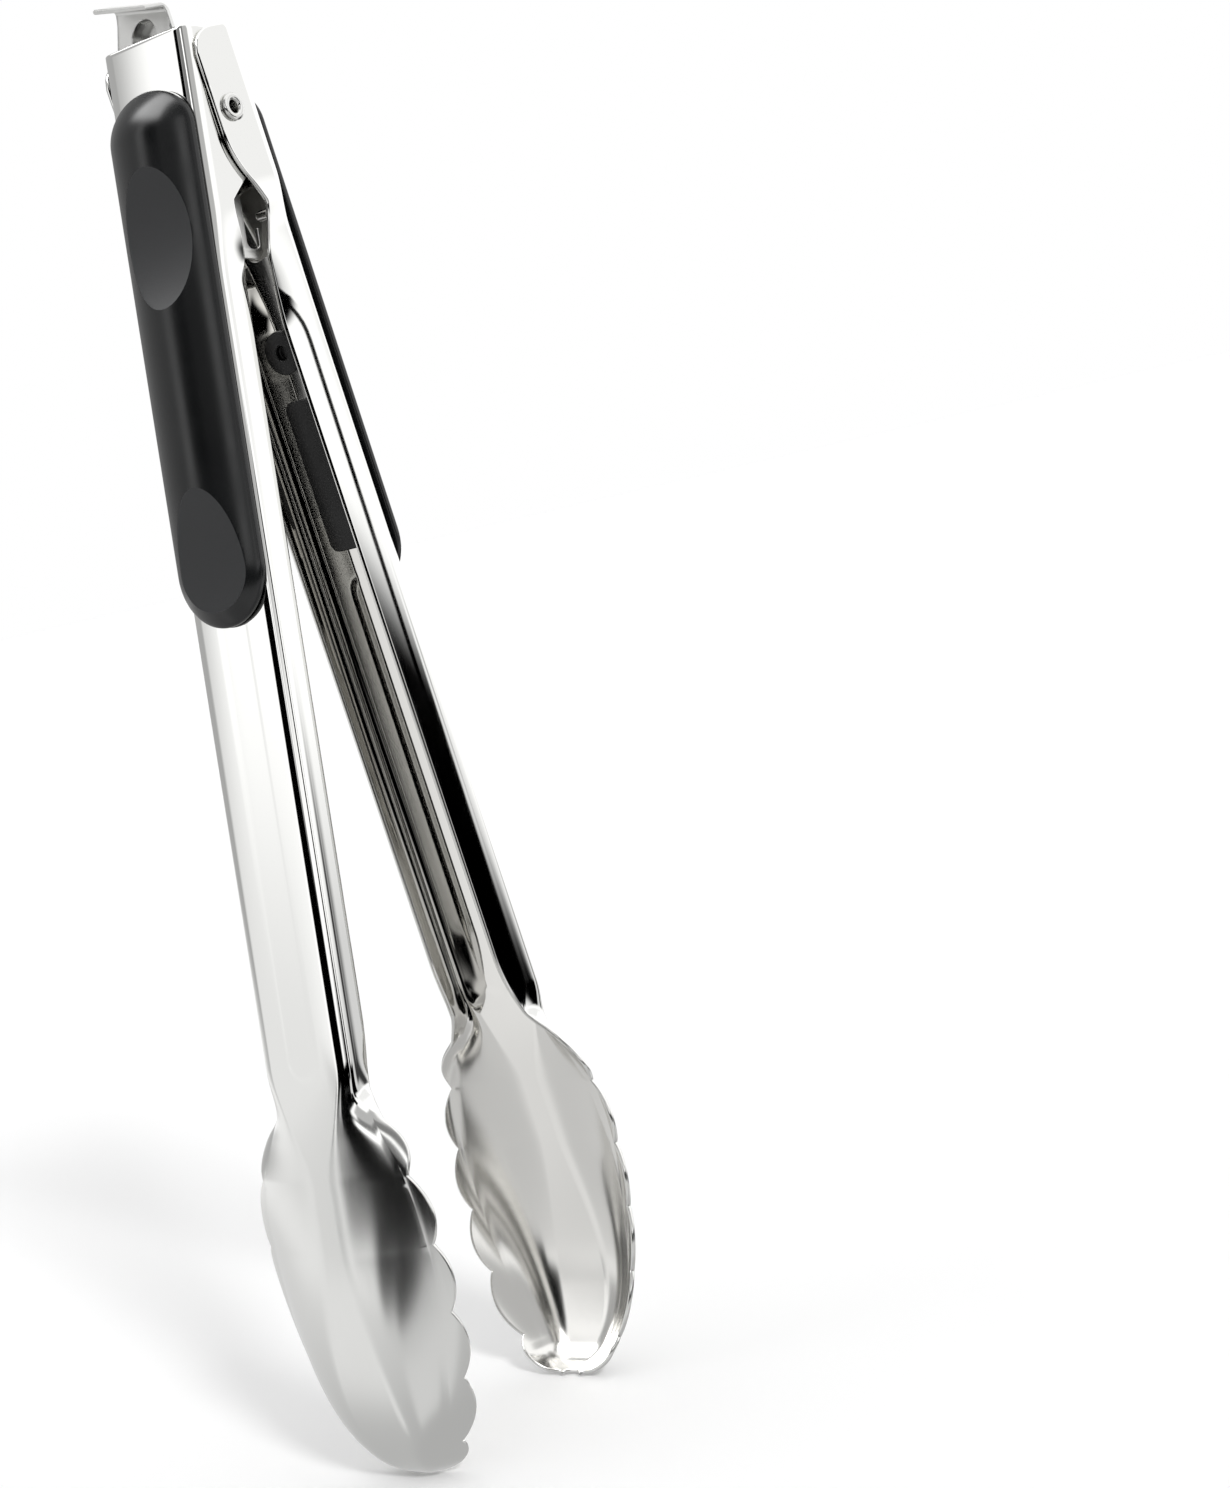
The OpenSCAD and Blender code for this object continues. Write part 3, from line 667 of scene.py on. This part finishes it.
def make_spring():
    """Close coil round the rivet with a straight leg lying along each arm."""
    leg_n = STRIP_OUT - WIRE_R
    lean = OPEN_ANGLE + math.asin((leg_n - COIL_R) / SPRING_LEG)
    turns = 2 * math.pi * COILS + math.pi - 2 * lean
    coil_half = (2 * WIRE_R + 0.35) * turns / (4 * math.pi)

    def coil(q):
        """Point on the coil's middle line, q from its left end to its right."""
        angle = math.pi - lean - turns * q
        return np.array([COIL_R * math.cos(angle), coil_half * (2 * q - 1), COIL_R * math.sin(angle)])

    down = {side: np.array([side * math.sin(lean), 0, -math.cos(lean)]) * SPRING_LEG for side in (LEFT, RIGHT)}
    path = [coil(0) + down[LEFT] * q for q in np.linspace(1, 0, 14, endpoint=False)]
    path += [coil(q) for q in np.linspace(0, 1, 32 * COILS + 1)]
    path += [coil(1) + down[RIGHT] * q for q in np.linspace(0, 1, 15)[1:]]
    points, faces = wire(path, WIRE_R)
    spring = new_piece("torsion_spring_wire", from_pivot(points), faces, spring_steel)
    shade(spring, 60)
    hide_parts("torsion_spring")
    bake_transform(spring)
    return coil_half


# ---------------------------------------------------------------- lock bar
def make_lock_bar(coil_half):
    """Pull tab with its hanging hole, the strip behind the web and the two hooked cheeks."""
    lip_r = LIP_BEND + STRIP / 2
    root, turn_n = TAB_TOP + STRIP + LIP_BEND, STRIP_OUT + LIP_BEND
    end = math.pi / 2 + LIP_DROOP
    # Height over the root of the lip, and n, along the lip and round its bend
    path = [(lip_r * math.sin(end) + q * math.cos(end),
             turn_n - lip_r * math.cos(end) + q * math.sin(end))
            for q in np.linspace(LIP, 0, 12, endpoint=False)]
    path += [(lip_r * math.sin(a), turn_n - lip_r * math.cos(a)) for a in np.linspace(end, 0, 14)]
    rise, n = np.array(path).T
    columns = 25
    across = np.linspace(-1, 1, columns)
    tilt = across * TAB_TOP_HALF * math.tan(TAB_SLANT)
    lip = root - tilt - rise[:, None] / math.cos(TAB_SLANT)
    down = np.linspace(0, 1, 40)[1:, None]
    s = np.concatenate([lip, mix(root - tilt, CHEEK_TOP + 1.5, down)])
    n = np.concatenate([n, np.full(len(down), STRIP_MID)])
    half = mix(TAB_TOP_HALF, TAB_HALF, np.clip((s - root) / (-PIVOT_DROP - root), 0, 1))
    grid = np.stack([s, np.repeat(n[:, None], columns, 1), across * half], -1)
    points, faces = sheet_solid(grid, STRIP, 0.25)
    bar = new_piece("lock_bar_strip", place(points, LEFT), faces, strip_steel)

    # Where a catch pin lies on this arm once the arms are closed
    caught_s = PIN[0] * math.cos(CLOSED_TURN) - PIN[1] * math.sin(CLOSED_TURN)
    caught_n = -PIN[1] * math.cos(CLOSED_TURN) - PIN[0] * math.sin(CLOSED_TURN)
    hook_in = caught_n - PIN_R - SEAT_GAP
    hook_out = hook_in - 0.8
    hook_top = caught_s + PIN_R + 0.4
    hook_floor = hook_top + LOCK_TRAVEL
    foot = hook_floor + 2.2
    body_n = caught_n + PIN_R + 1
    corners = [(CHEEK_TOP, -CHEEK_OUT), (foot, -CHEEK_OUT), (foot, CHEEK_OUT), (CHEEK_TOP, CHEEK_OUT)]
    outline = rounded(corners, [0.8, 1.2, 1.2, 0.8])
    points, faces = plate(outline, STRIP_OUT - STRIP, STRIP_OUT, 0.2)
    combine(bar, new_piece("base", place(points[:, [0, 2, 1]], LEFT), faces, strip_steel), "UNION")
    web_side = STRIP_OUT - 0.05
    cheek = rounded([(CHEEK_TOP, web_side), (foot, web_side), (foot, hook_out), (hook_top, hook_out),
                     (hook_top, hook_in), (hook_floor, hook_in), (hook_floor, body_n), (CHEEK_TOP, body_n)],
                    [0, 0.6, 2.2, 0.3, 0.3, 1.2, 1.4, 2.4])
    # Known fault: joining the first cheek leaves the mesh open. The hole's cut then leaves
    # a loose disc 2.2 mm behind the hole, and the slot's cut leaves more open edges.
    for low in (-CHEEK_OUT, CHEEK_OUT - STRIP):
        points, faces = plate(cheek, low, low + STRIP, 0.2)
        combine(bar, new_piece("cheek", place(points, LEFT), faces, strip_steel), "UNION")
    wide = HANG_R + 0.16
    flare = [(0, 5), (wide, 5), (wide, STRIP_MID - 0.5), (HANG_R, STRIP_MID - 0.32),
             (HANG_R, STRIP_MID + 0.32), (wide, STRIP_MID + 0.5), (wide, 9.5), (0, 9.5)]
    points, faces = lathe(flare, turns=96, bored=False)
    combine(bar, new_piece("hole", place(through_web(points, HOLE_S), LEFT), faces, strip_steel), "DIFFERENCE")
    # Slot that the spring's leg lies in
    top, bottom, half = 8, 27, WIRE_R + 0.9
    low_y, high_y = -coil_half - half, half - coil_half
    slot = rounded([(top, low_y), (bottom, low_y), (bottom, high_y), (top, high_y)], 1.0)
    points, faces = plate(slot, 5, 9, 0.01)
    combine(bar, new_piece("slot", place(points[:, [0, 2, 1]], LEFT), faces, strip_steel), "DIFFERENCE")
    shade(bar, 35)
    fit(bar, "lock_bar", "strip_steel", "lock_bar")


# ---------------------------------------------------------------- grips and fixings
def stadium(radius, run_start, run_end, turn_steps, run_steps):
    """Outline at one distance from a line between two places down the arm, as (s, y).

    The end by the pivot is blunter than a half round."""
    out = []
    for a in np.linspace(-math.pi / 2, math.pi / 2, turn_steps, endpoint=False):
        out.append((run_start - GRIP_BLUNT * radius * math.cos(a), radius * math.sin(a)))
    out += [(s, radius) for s in np.linspace(run_start, run_end, run_steps, endpoint=False)]
    for a in np.linspace(math.pi / 2, -math.pi / 2, turn_steps, endpoint=False):
        out.append((run_end + radius * math.cos(a), radius * math.sin(a)))
    out += [(s, -radius) for s in np.linspace(run_end, run_start, run_steps, endpoint=False)]
    return np.array(out)


def make_grip(side):
    """Domed black bar with round ends and two matt thumb scoops."""
    start, end = GRIP_BLUNT * GRIP_HALF - GRIP_START, GRIP_LENGTH - GRIP_HALF - GRIP_START
    wall_top = GRIP_BASE + GRIP_WALL
    foot, shoulder, shoulder_in = 0.25, 0.45, 0.7
    arc, run = 36, 60

    def dome(r):
        """Height of the crown at a distance from the middle line."""
        return GRIP_TOP - DOME_R + math.sqrt(DOME_R ** 2 - r ** 2)

    # Distance out and height of each ring: a rolled foot, then a rolled shoulder up to the dome
    levels = [(GRIP_HALF - foot * (1 - math.sin(a)), GRIP_BASE + foot * (1 - math.cos(a)))
              for a in np.linspace(0, math.pi / 2, 5)]
    p0 = np.array([GRIP_HALF, wall_top - shoulder])
    p1 = np.array([GRIP_HALF, wall_top])
    p2 = np.array([GRIP_HALF - shoulder_in, dome(GRIP_HALF - shoulder_in)])
    for q in np.linspace(0, 1, 7):
        levels.append(tuple((1 - q) ** 2 * p0 + 2 * q * (1 - q) * p1 + q * q * p2))
    levels += [(r, dome(r)) for r in np.linspace(GRIP_HALF - shoulder_in, 0, 26)[1:-1]] + [(0.001, GRIP_TOP)]
    points = []
    for radius, height in levels:
        ring = stadium(radius, start, end, arc, run)
        points.append(np.column_stack([ring[:, 0], np.full(len(ring), height), ring[:, 1]]))
    count = len(points[0])
    rings = list(np.arange(count * len(levels)).reshape(len(levels), count))
    points = np.concatenate(points)
    faces = ring_faces(rings) + [tuple(int(v) for v in rings[0][::-1])]
    # The crown closes along the middle line, pairing the two sides of the last ring
    last = rings[-1]
    crown = []
    for k in range(run):
        a, b = arc + k, arc + k + 1
        c, d = (2 * arc + 2 * run - k) % count, (2 * arc + 2 * run - k - 1) % count
        crown.append((int(last[a]), int(last[b % count]), int(last[d]), int(last[c])))
    crown.append(tuple(int(last[k]) for k in range(arc + 1)))
    crown.append(tuple(int(last[k]) for k in range(arc + run, 2 * arc + run + 1)))
    grip = new_piece(SIDE_NAME[side] + "_grip_shell", place(points, side), faces + crown, grip_nylon)
    slices, reach = 33, 16
    for scoop_s, scoop_r, depth in SCOOPS:
        low = GRIP_TOP + scoop_r - depth
        line = [(scoop_s + scoop_r * math.sin(a), low - scoop_r * math.cos(a))
                for a in np.linspace(-0.5, 0.5, 121)]
        line = [p for p in line if p[1] < GRIP_TOP + 3]
        cut = np.array(line + [(line[-1][0], GRIP_TOP + 6), (line[0][0], GRIP_TOP + 6)])
        count = len(cut)
        points = np.concatenate([np.column_stack([cut, np.full(count, y)])
                                 for y in np.linspace(-reach, reach, slices)])
        rings = list(np.arange(count * slices).reshape(slices, count))
        scoop = new_piece("scoop", place(points, side), ring_faces(rings) + end_caps(rings), scoop_nylon)
        combine(grip, scoop, "DIFFERENCE")
    soften_scoops(grip)
    fit(grip, SIDE_NAME[side] + "_arm", "grip_plastic", SIDE_NAME[side] + "_grip")


def soften_scoops(grip):
    """Rolls the rim of each scoop and shades everything else smoothly."""
    work = bmesh.new()
    work.from_mesh(grip.data)
    bmesh.ops.remove_doubles(work, verts=work.verts, dist=2e-6)
    rim = [e for e in work.edges if len(e.link_faces) == 2
           and e.link_faces[0].material_index != e.link_faces[1].material_index]
    bmesh.ops.bevel(work, geom=rim, offset=0.22 * MM, offset_type="OFFSET", segments=2, profile=0.5,
                    affect="EDGES", clamp_overlap=True, material=0)
    work.to_mesh(grip.data)
    work.free()
    shade(grip, 38)


def make_fixings(side):
    """Round stud and long plug that hold a grip from inside the channel."""
    name, body = SIDE_NAME[side], SIDE_NAME[side] + "_arm"
    seat, top = WEB_N - SHEET - SEAT_GAP, WEB_N - 0.05
    flange_r, flange_t = STUD_FLANGE
    low = seat - flange_t
    # The stud's blind hole stops inside the shank
    profile = [(0, seat - 0.4), (1.4, seat - 0.4), (1.6, seat - 0.6), (1.6, low + 0.2), (1.8, low),
               (flange_r - 0.4, low), (flange_r - 0.12, low + 0.12), (flange_r, low + 0.4),
               (flange_r, seat - 0.15), (flange_r - 0.15, seat), (STUD_R, seat), (STUD_R, WEB_N - 0.25),
               (STUD_R - 0.2, top), (0, top)]
    points, faces = lathe(profile, bored=False)
    stud = new_piece(name + "_stud", place(through_web(points, STUD_S), side), faces, fixing_nylon)
    shade(stud, 40)
    fit(stud, body, "fixing_plastic", name + "_grip_stud")

    def block(piece_name, length, width, corner, low, high, edge):
        """Oblong piece between two heights at the plug's place."""
        points, faces = plate(plug_outline(length, width, corner), low, high, edge)
        return new_piece(piece_name, place(points[:, [0, 2, 1]], side), faces, fixing_nylon)

    length, width, thickness = PLUG
    plug = block(name + "_plug", length, width, 2.2, seat - thickness, seat, 0.35)
    combine(plug, block("post", *POST, 0.3, seat - 0.5, top, 0.1), "UNION")
    shade(plug, 40)
    fit(plug, body, "fixing_plastic", name + "_grip_plug")


def make_catch_pins():
    """Two short pins inside the right arm that the hooked cheeks take hold of."""
    out = ARM_WIDTH / 2 - SHEET - SEAT_GAP
    profile = [(0, PIN_IN), (PIN_R - 0.45, PIN_IN), (PIN_R - 0.13, PIN_IN + 0.13), (PIN_R, PIN_IN + 0.45),
               (PIN_R, out - 0.1), (PIN_R - 0.1, out), (0, out)]
    points, faces = lathe(profile, turns=48, bored=False)
    points = np.column_stack([points[:, 0] + PIN[0], points[:, 1] + PIN[1], points[:, 2]])
    both = np.concatenate([place(points, RIGHT), place(points * [1, 1, -1], RIGHT)])
    faces = faces + [tuple(v + len(points) for v in face) for face in faces]
    pins = new_piece("catch_pin_pair", both, faces, rivet_steel)
    shade(pins, 40)
    fit(pins, "right_arm", "rivet_steel", "catch_pins")


# ---------------------------------------------------------------- studio
# The floor lies this far under the tips, in metres
FLOOR_GAP = 0.0003


def make_floor(level):
    """Pale floor under the tips; it shows in no reflection, so the flags shape those."""
    line = [-200, -20, -2, -0.3, 0.3, 2, 20, 200]
    count = len(line)
    points = [(x, y, level) for x in line for y in line]
    faces = [(i * count + j, (i + 1) * count + j, (i + 1) * count + j + 1, i * count + j + 1)
             for i in range(count - 1) for j in range(count - 1)]
    material = finish_base("Pale floor", in_Base_Color=linear("#fcfcfc"), in_Roughness=0.9)[0]
    floor = new_piece("floor", points, faces, material)
    floor.visible_glossy = False


def degrees_map(tree, value, points):
    """Brightness by angle in degrees, straight between (angle, brightness) points."""
    total = None
    for (a, low), (b, high) in zip(points[:-1], points[1:]):
        start, end = (0.0, high - low) if total else (low, high)
        part = add(tree, "ShaderNodeMapRange", {"Value": value}, in_From_Min=math.radians(a),
                   in_From_Max=math.radians(b), in_To_Min=start, in_To_Max=end).outputs[0]
        total = add(tree, "ShaderNodeMath", {0: total, 1: part}).outputs[0] if total else part
    return total


def band(tree, value, low, high, soft_low, soft_high):
    """1 between two angles in degrees, fading to 0 over the soft degrees at each end."""
    rise = add(tree, "ShaderNodeMapRange", {"Value": value}, interpolation_type="SMOOTHSTEP",
               in_From_Min=math.radians(low - soft_low), in_From_Max=math.radians(low + soft_low))
    fall = add(tree, "ShaderNodeMapRange", {"Value": value}, interpolation_type="SMOOTHSTEP",
               in_From_Min=math.radians(high - soft_high), in_From_Max=math.radians(high + soft_high),
               in_To_Min=1.0, in_To_Max=0.0)
    return add(tree, "ShaderNodeMath", {0: rise.outputs[0], 1: fall.outputs[0]}, operation="MULTIPLY").outputs[0]


# Open studio: brightness by elevation, from the dim floor up to the white tent
TENT = ((-60, 0.55), (-34, 0.62), (-18, 0.74), (-10, 0.84), (-5, 1.35), (5, 1.4))
# Softboxes and black flags hung in the tent, in degrees: azimuth from, to, elevation
# from, to, softness of the two azimuth ends and of the elevation ends, slant, brightness
STUDIO = (
    (48, 131.2, -4, 60, 8, 2.4, 5, 0, 0.5),
    (129, 137, -40, 4, 2, 2, 5, 0, 1.0),
    (110, 165, 38, 70, 6, 6, 6, 0, 7.0),
    (170, 220, -50, -20, 6, 6, 5, 0, 0.8),
    (228, 328, -26, -18, 6, 6, 3, 0, 0.9),
    (296, 328, -48, -24, 6, 6, 4, 0, 1.1),
    (290, 328, 2, 30, 8, 4, 4, 0, 1.15),
    (142, 200, -4.5, 18, 1.5, 6, 2, 0, 0.0),
    (159, 200, -10, 0, 2, 6, 2, 0, 0.0),
    (136.2, 138.6, -7.5, -1, 0.3, 0.5, 1, 0, 0.0),
    (172, 200, -13.5, -5, 3, 6, 1.5, 0, 0.0),
    (142, 163, 14, 32, 1.5, 4, 3, 0, 0.0),
    (163, 215, 14, 60, 3, 6, 3, 0, 0.25),
    (212, 252, 7, 60, 6, 6, 4, 0, 0.6),
    (190, 264, -12.5, -1, 5, 2.5, 2, 0, 0.0),
    (249, 264, -17, 9, 2, 2, 1.5, 0, 0.0),
    (195, 250, -20, -9, 5, 4, 1.5, -0.18, 0.0),
    (272, 286, -25, -5, 1, 0.6, 2, 0, 0.0),
    (276, 312, -26, -11, 2, 3, 2, 0, 0.0),
    (280.6, 283, -8, 3, 0.5, 0.4, 1, 0, 0.0),
    (333, 348, -36, -6, 6, 3, 3, 0, 0.05),
    (340, 362, -40, -20, 6, 1, 3, 0, 0.05),
    (187, 196, 8, 34, 2, 2, 4, 0, 1.8),
)
# Azimuth at which a slanted flag has the elevations given for it
SLANT_FROM = 228


def make_studio():
    """White world to the camera, even light on matt surfaces, the studio in reflections."""
    world = bpy.data.worlds.new("Studio")
    bpy.context.scene.world = world
    world.use_nodes = True
    tree = world.node_tree
    tree.nodes.clear()
    way = add(tree, "ShaderNodeTexCoord").outputs["Generated"]
    parts = add(tree, "ShaderNodeSeparateXYZ", {"Vector": way})
    turn = add(tree, "ShaderNodeMath", {0: parts.outputs["Y"], 1: parts.outputs["X"]}, operation="ARCTAN2")
    wrapped = add(tree, "ShaderNodeMath", {0: turn.outputs[0]}, operation="WRAP")
    wrapped.inputs[1].default_value, wrapped.inputs[2].default_value = 2 * math.pi, 0.0
    azimuth = wrapped.outputs[0]
    elevation = add(tree, "ShaderNodeMath", {0: parts.outputs["Z"]}, operation="ARCSINE").outputs[0]
    bright = degrees_map(tree, elevation, TENT)
    for low_az, high_az, low_el, high_el, soft_low, soft_high, soft_el, slant, value in STUDIO:
        height = elevation
        if slant:
            past = add(tree, "ShaderNodeMath", {0: azimuth}, operation="MULTIPLY_ADD")
            past.inputs[1].default_value, past.inputs[2].default_value = -slant, slant * math.radians(SLANT_FROM)
            height = add(tree, "ShaderNodeMath", {0: elevation, 1: past.outputs[0]}).outputs[0]
        inside = add(tree, "ShaderNodeMath", {0: band(tree, azimuth, low_az, high_az, soft_low, soft_high),
                                              1: band(tree, height, low_el, high_el, soft_el, soft_el)},
                     operation="MULTIPLY").outputs[0]
        step = add(tree, "ShaderNodeMix", {"Factor": inside})
        step.inputs[3].default_value = value
        tree.links.new(bright, step.inputs[2])
        bright = step.outputs[0]
    studio = add(tree, "ShaderNodeBackground", {"Strength": bright}, in_Color=(1, 1, 1, 1))
    even = add(tree, "ShaderNodeBackground", in_Color=(1, 1, 1, 1), in_Strength=0.8)
    plain = add(tree, "ShaderNodeBackground", in_Color=(1, 1, 1, 1), in_Strength=1.0)
    ray = add(tree, "ShaderNodeLightPath")
    light = add(tree, "ShaderNodeMixShader",
                {0: ray.outputs["Is Glossy Ray"], 1: even.outputs[0], 2: studio.outputs[0]})
    seen = add(tree, "ShaderNodeMixShader",
               {0: ray.outputs["Is Camera Ray"], 1: light.outputs[0], 2: plain.outputs[0]})
    add(tree, "ShaderNodeOutputWorld", {"Surface": seen.outputs[0]})


def make_sun(name, toward, strength, spread):
    """Broad key light from a direction; its disc shows in no reflection."""
    light = bpy.data.lights.new(name, "SUN")
    light.energy, light.angle = strength, math.radians(spread)
    sun = bpy.data.objects.new(name, light)
    bpy.context.scene.collection.objects.link(sun)
    sun.rotation_euler = Vector(toward).normalized().to_track_quat("Z", "Y").to_euler()
    sun.visible_glossy = False


# View direction and roll in degrees, then the camera's place from a point half way down
# the arms: to its right, up and back, in mm
CAMERA_TURN = (51.52, 5.34, -13.26)
CAMERA_PLACE = (55.85, 15.72, 577.19)
HALF_WAY = -150
LENS, SENSOR = 65.021129, 36.0


def make_camera():
    """Looks from the left front, a little above the middle of the arms."""
    azimuth, elevation, roll = (math.radians(v) for v in CAMERA_TURN)
    across, rise, distance = CAMERA_PLACE
    centre = Vector((0, 0, HALF_WAY))
    ahead = Vector((math.sin(azimuth) * math.cos(elevation), math.cos(azimuth) * math.cos(elevation),
                    -math.sin(elevation)))
    level = Vector((math.cos(azimuth), -math.sin(azimuth), 0))
    upright = level.cross(ahead)
    right = math.cos(roll) * level + math.sin(roll) * upright
    up = -math.sin(roll) * level + math.cos(roll) * upright
    spot = centre + across * right + rise * up - distance * ahead
    turn = Matrix((right, up, -ahead)).transposed()
    data = bpy.data.cameras.new("camera")
    data.sensor_width = SENSOR
    data.lens = LENS
    data.clip_start, data.clip_end = 0.01, 50
    camera = bpy.data.objects.new("camera", data)
    camera.matrix_world = Matrix.Translation(Vector(from_pivot(spot))) @ turn.to_4x4()
    bpy.context.scene.collection.objects.link(camera)
    bpy.context.scene.camera = camera
    return right, ahead


for arm_side in (LEFT, RIGHT):
    make_arm(arm_side)
    make_grip(arm_side)
    make_fixings(arm_side)
make_rivet()
make_lock_bar(make_spring())
make_catch_pins()
make_floor(cad_bounds[0][2] - FLOOR_GAP)
make_studio()
to_right, ahead = make_camera()
make_sun("key_sun", to_right - 2.2 * ahead + Vector((0, 0, 1.5)), 1.5, 9)
bpy.context.scene.view_settings.view_transform = "Standard"
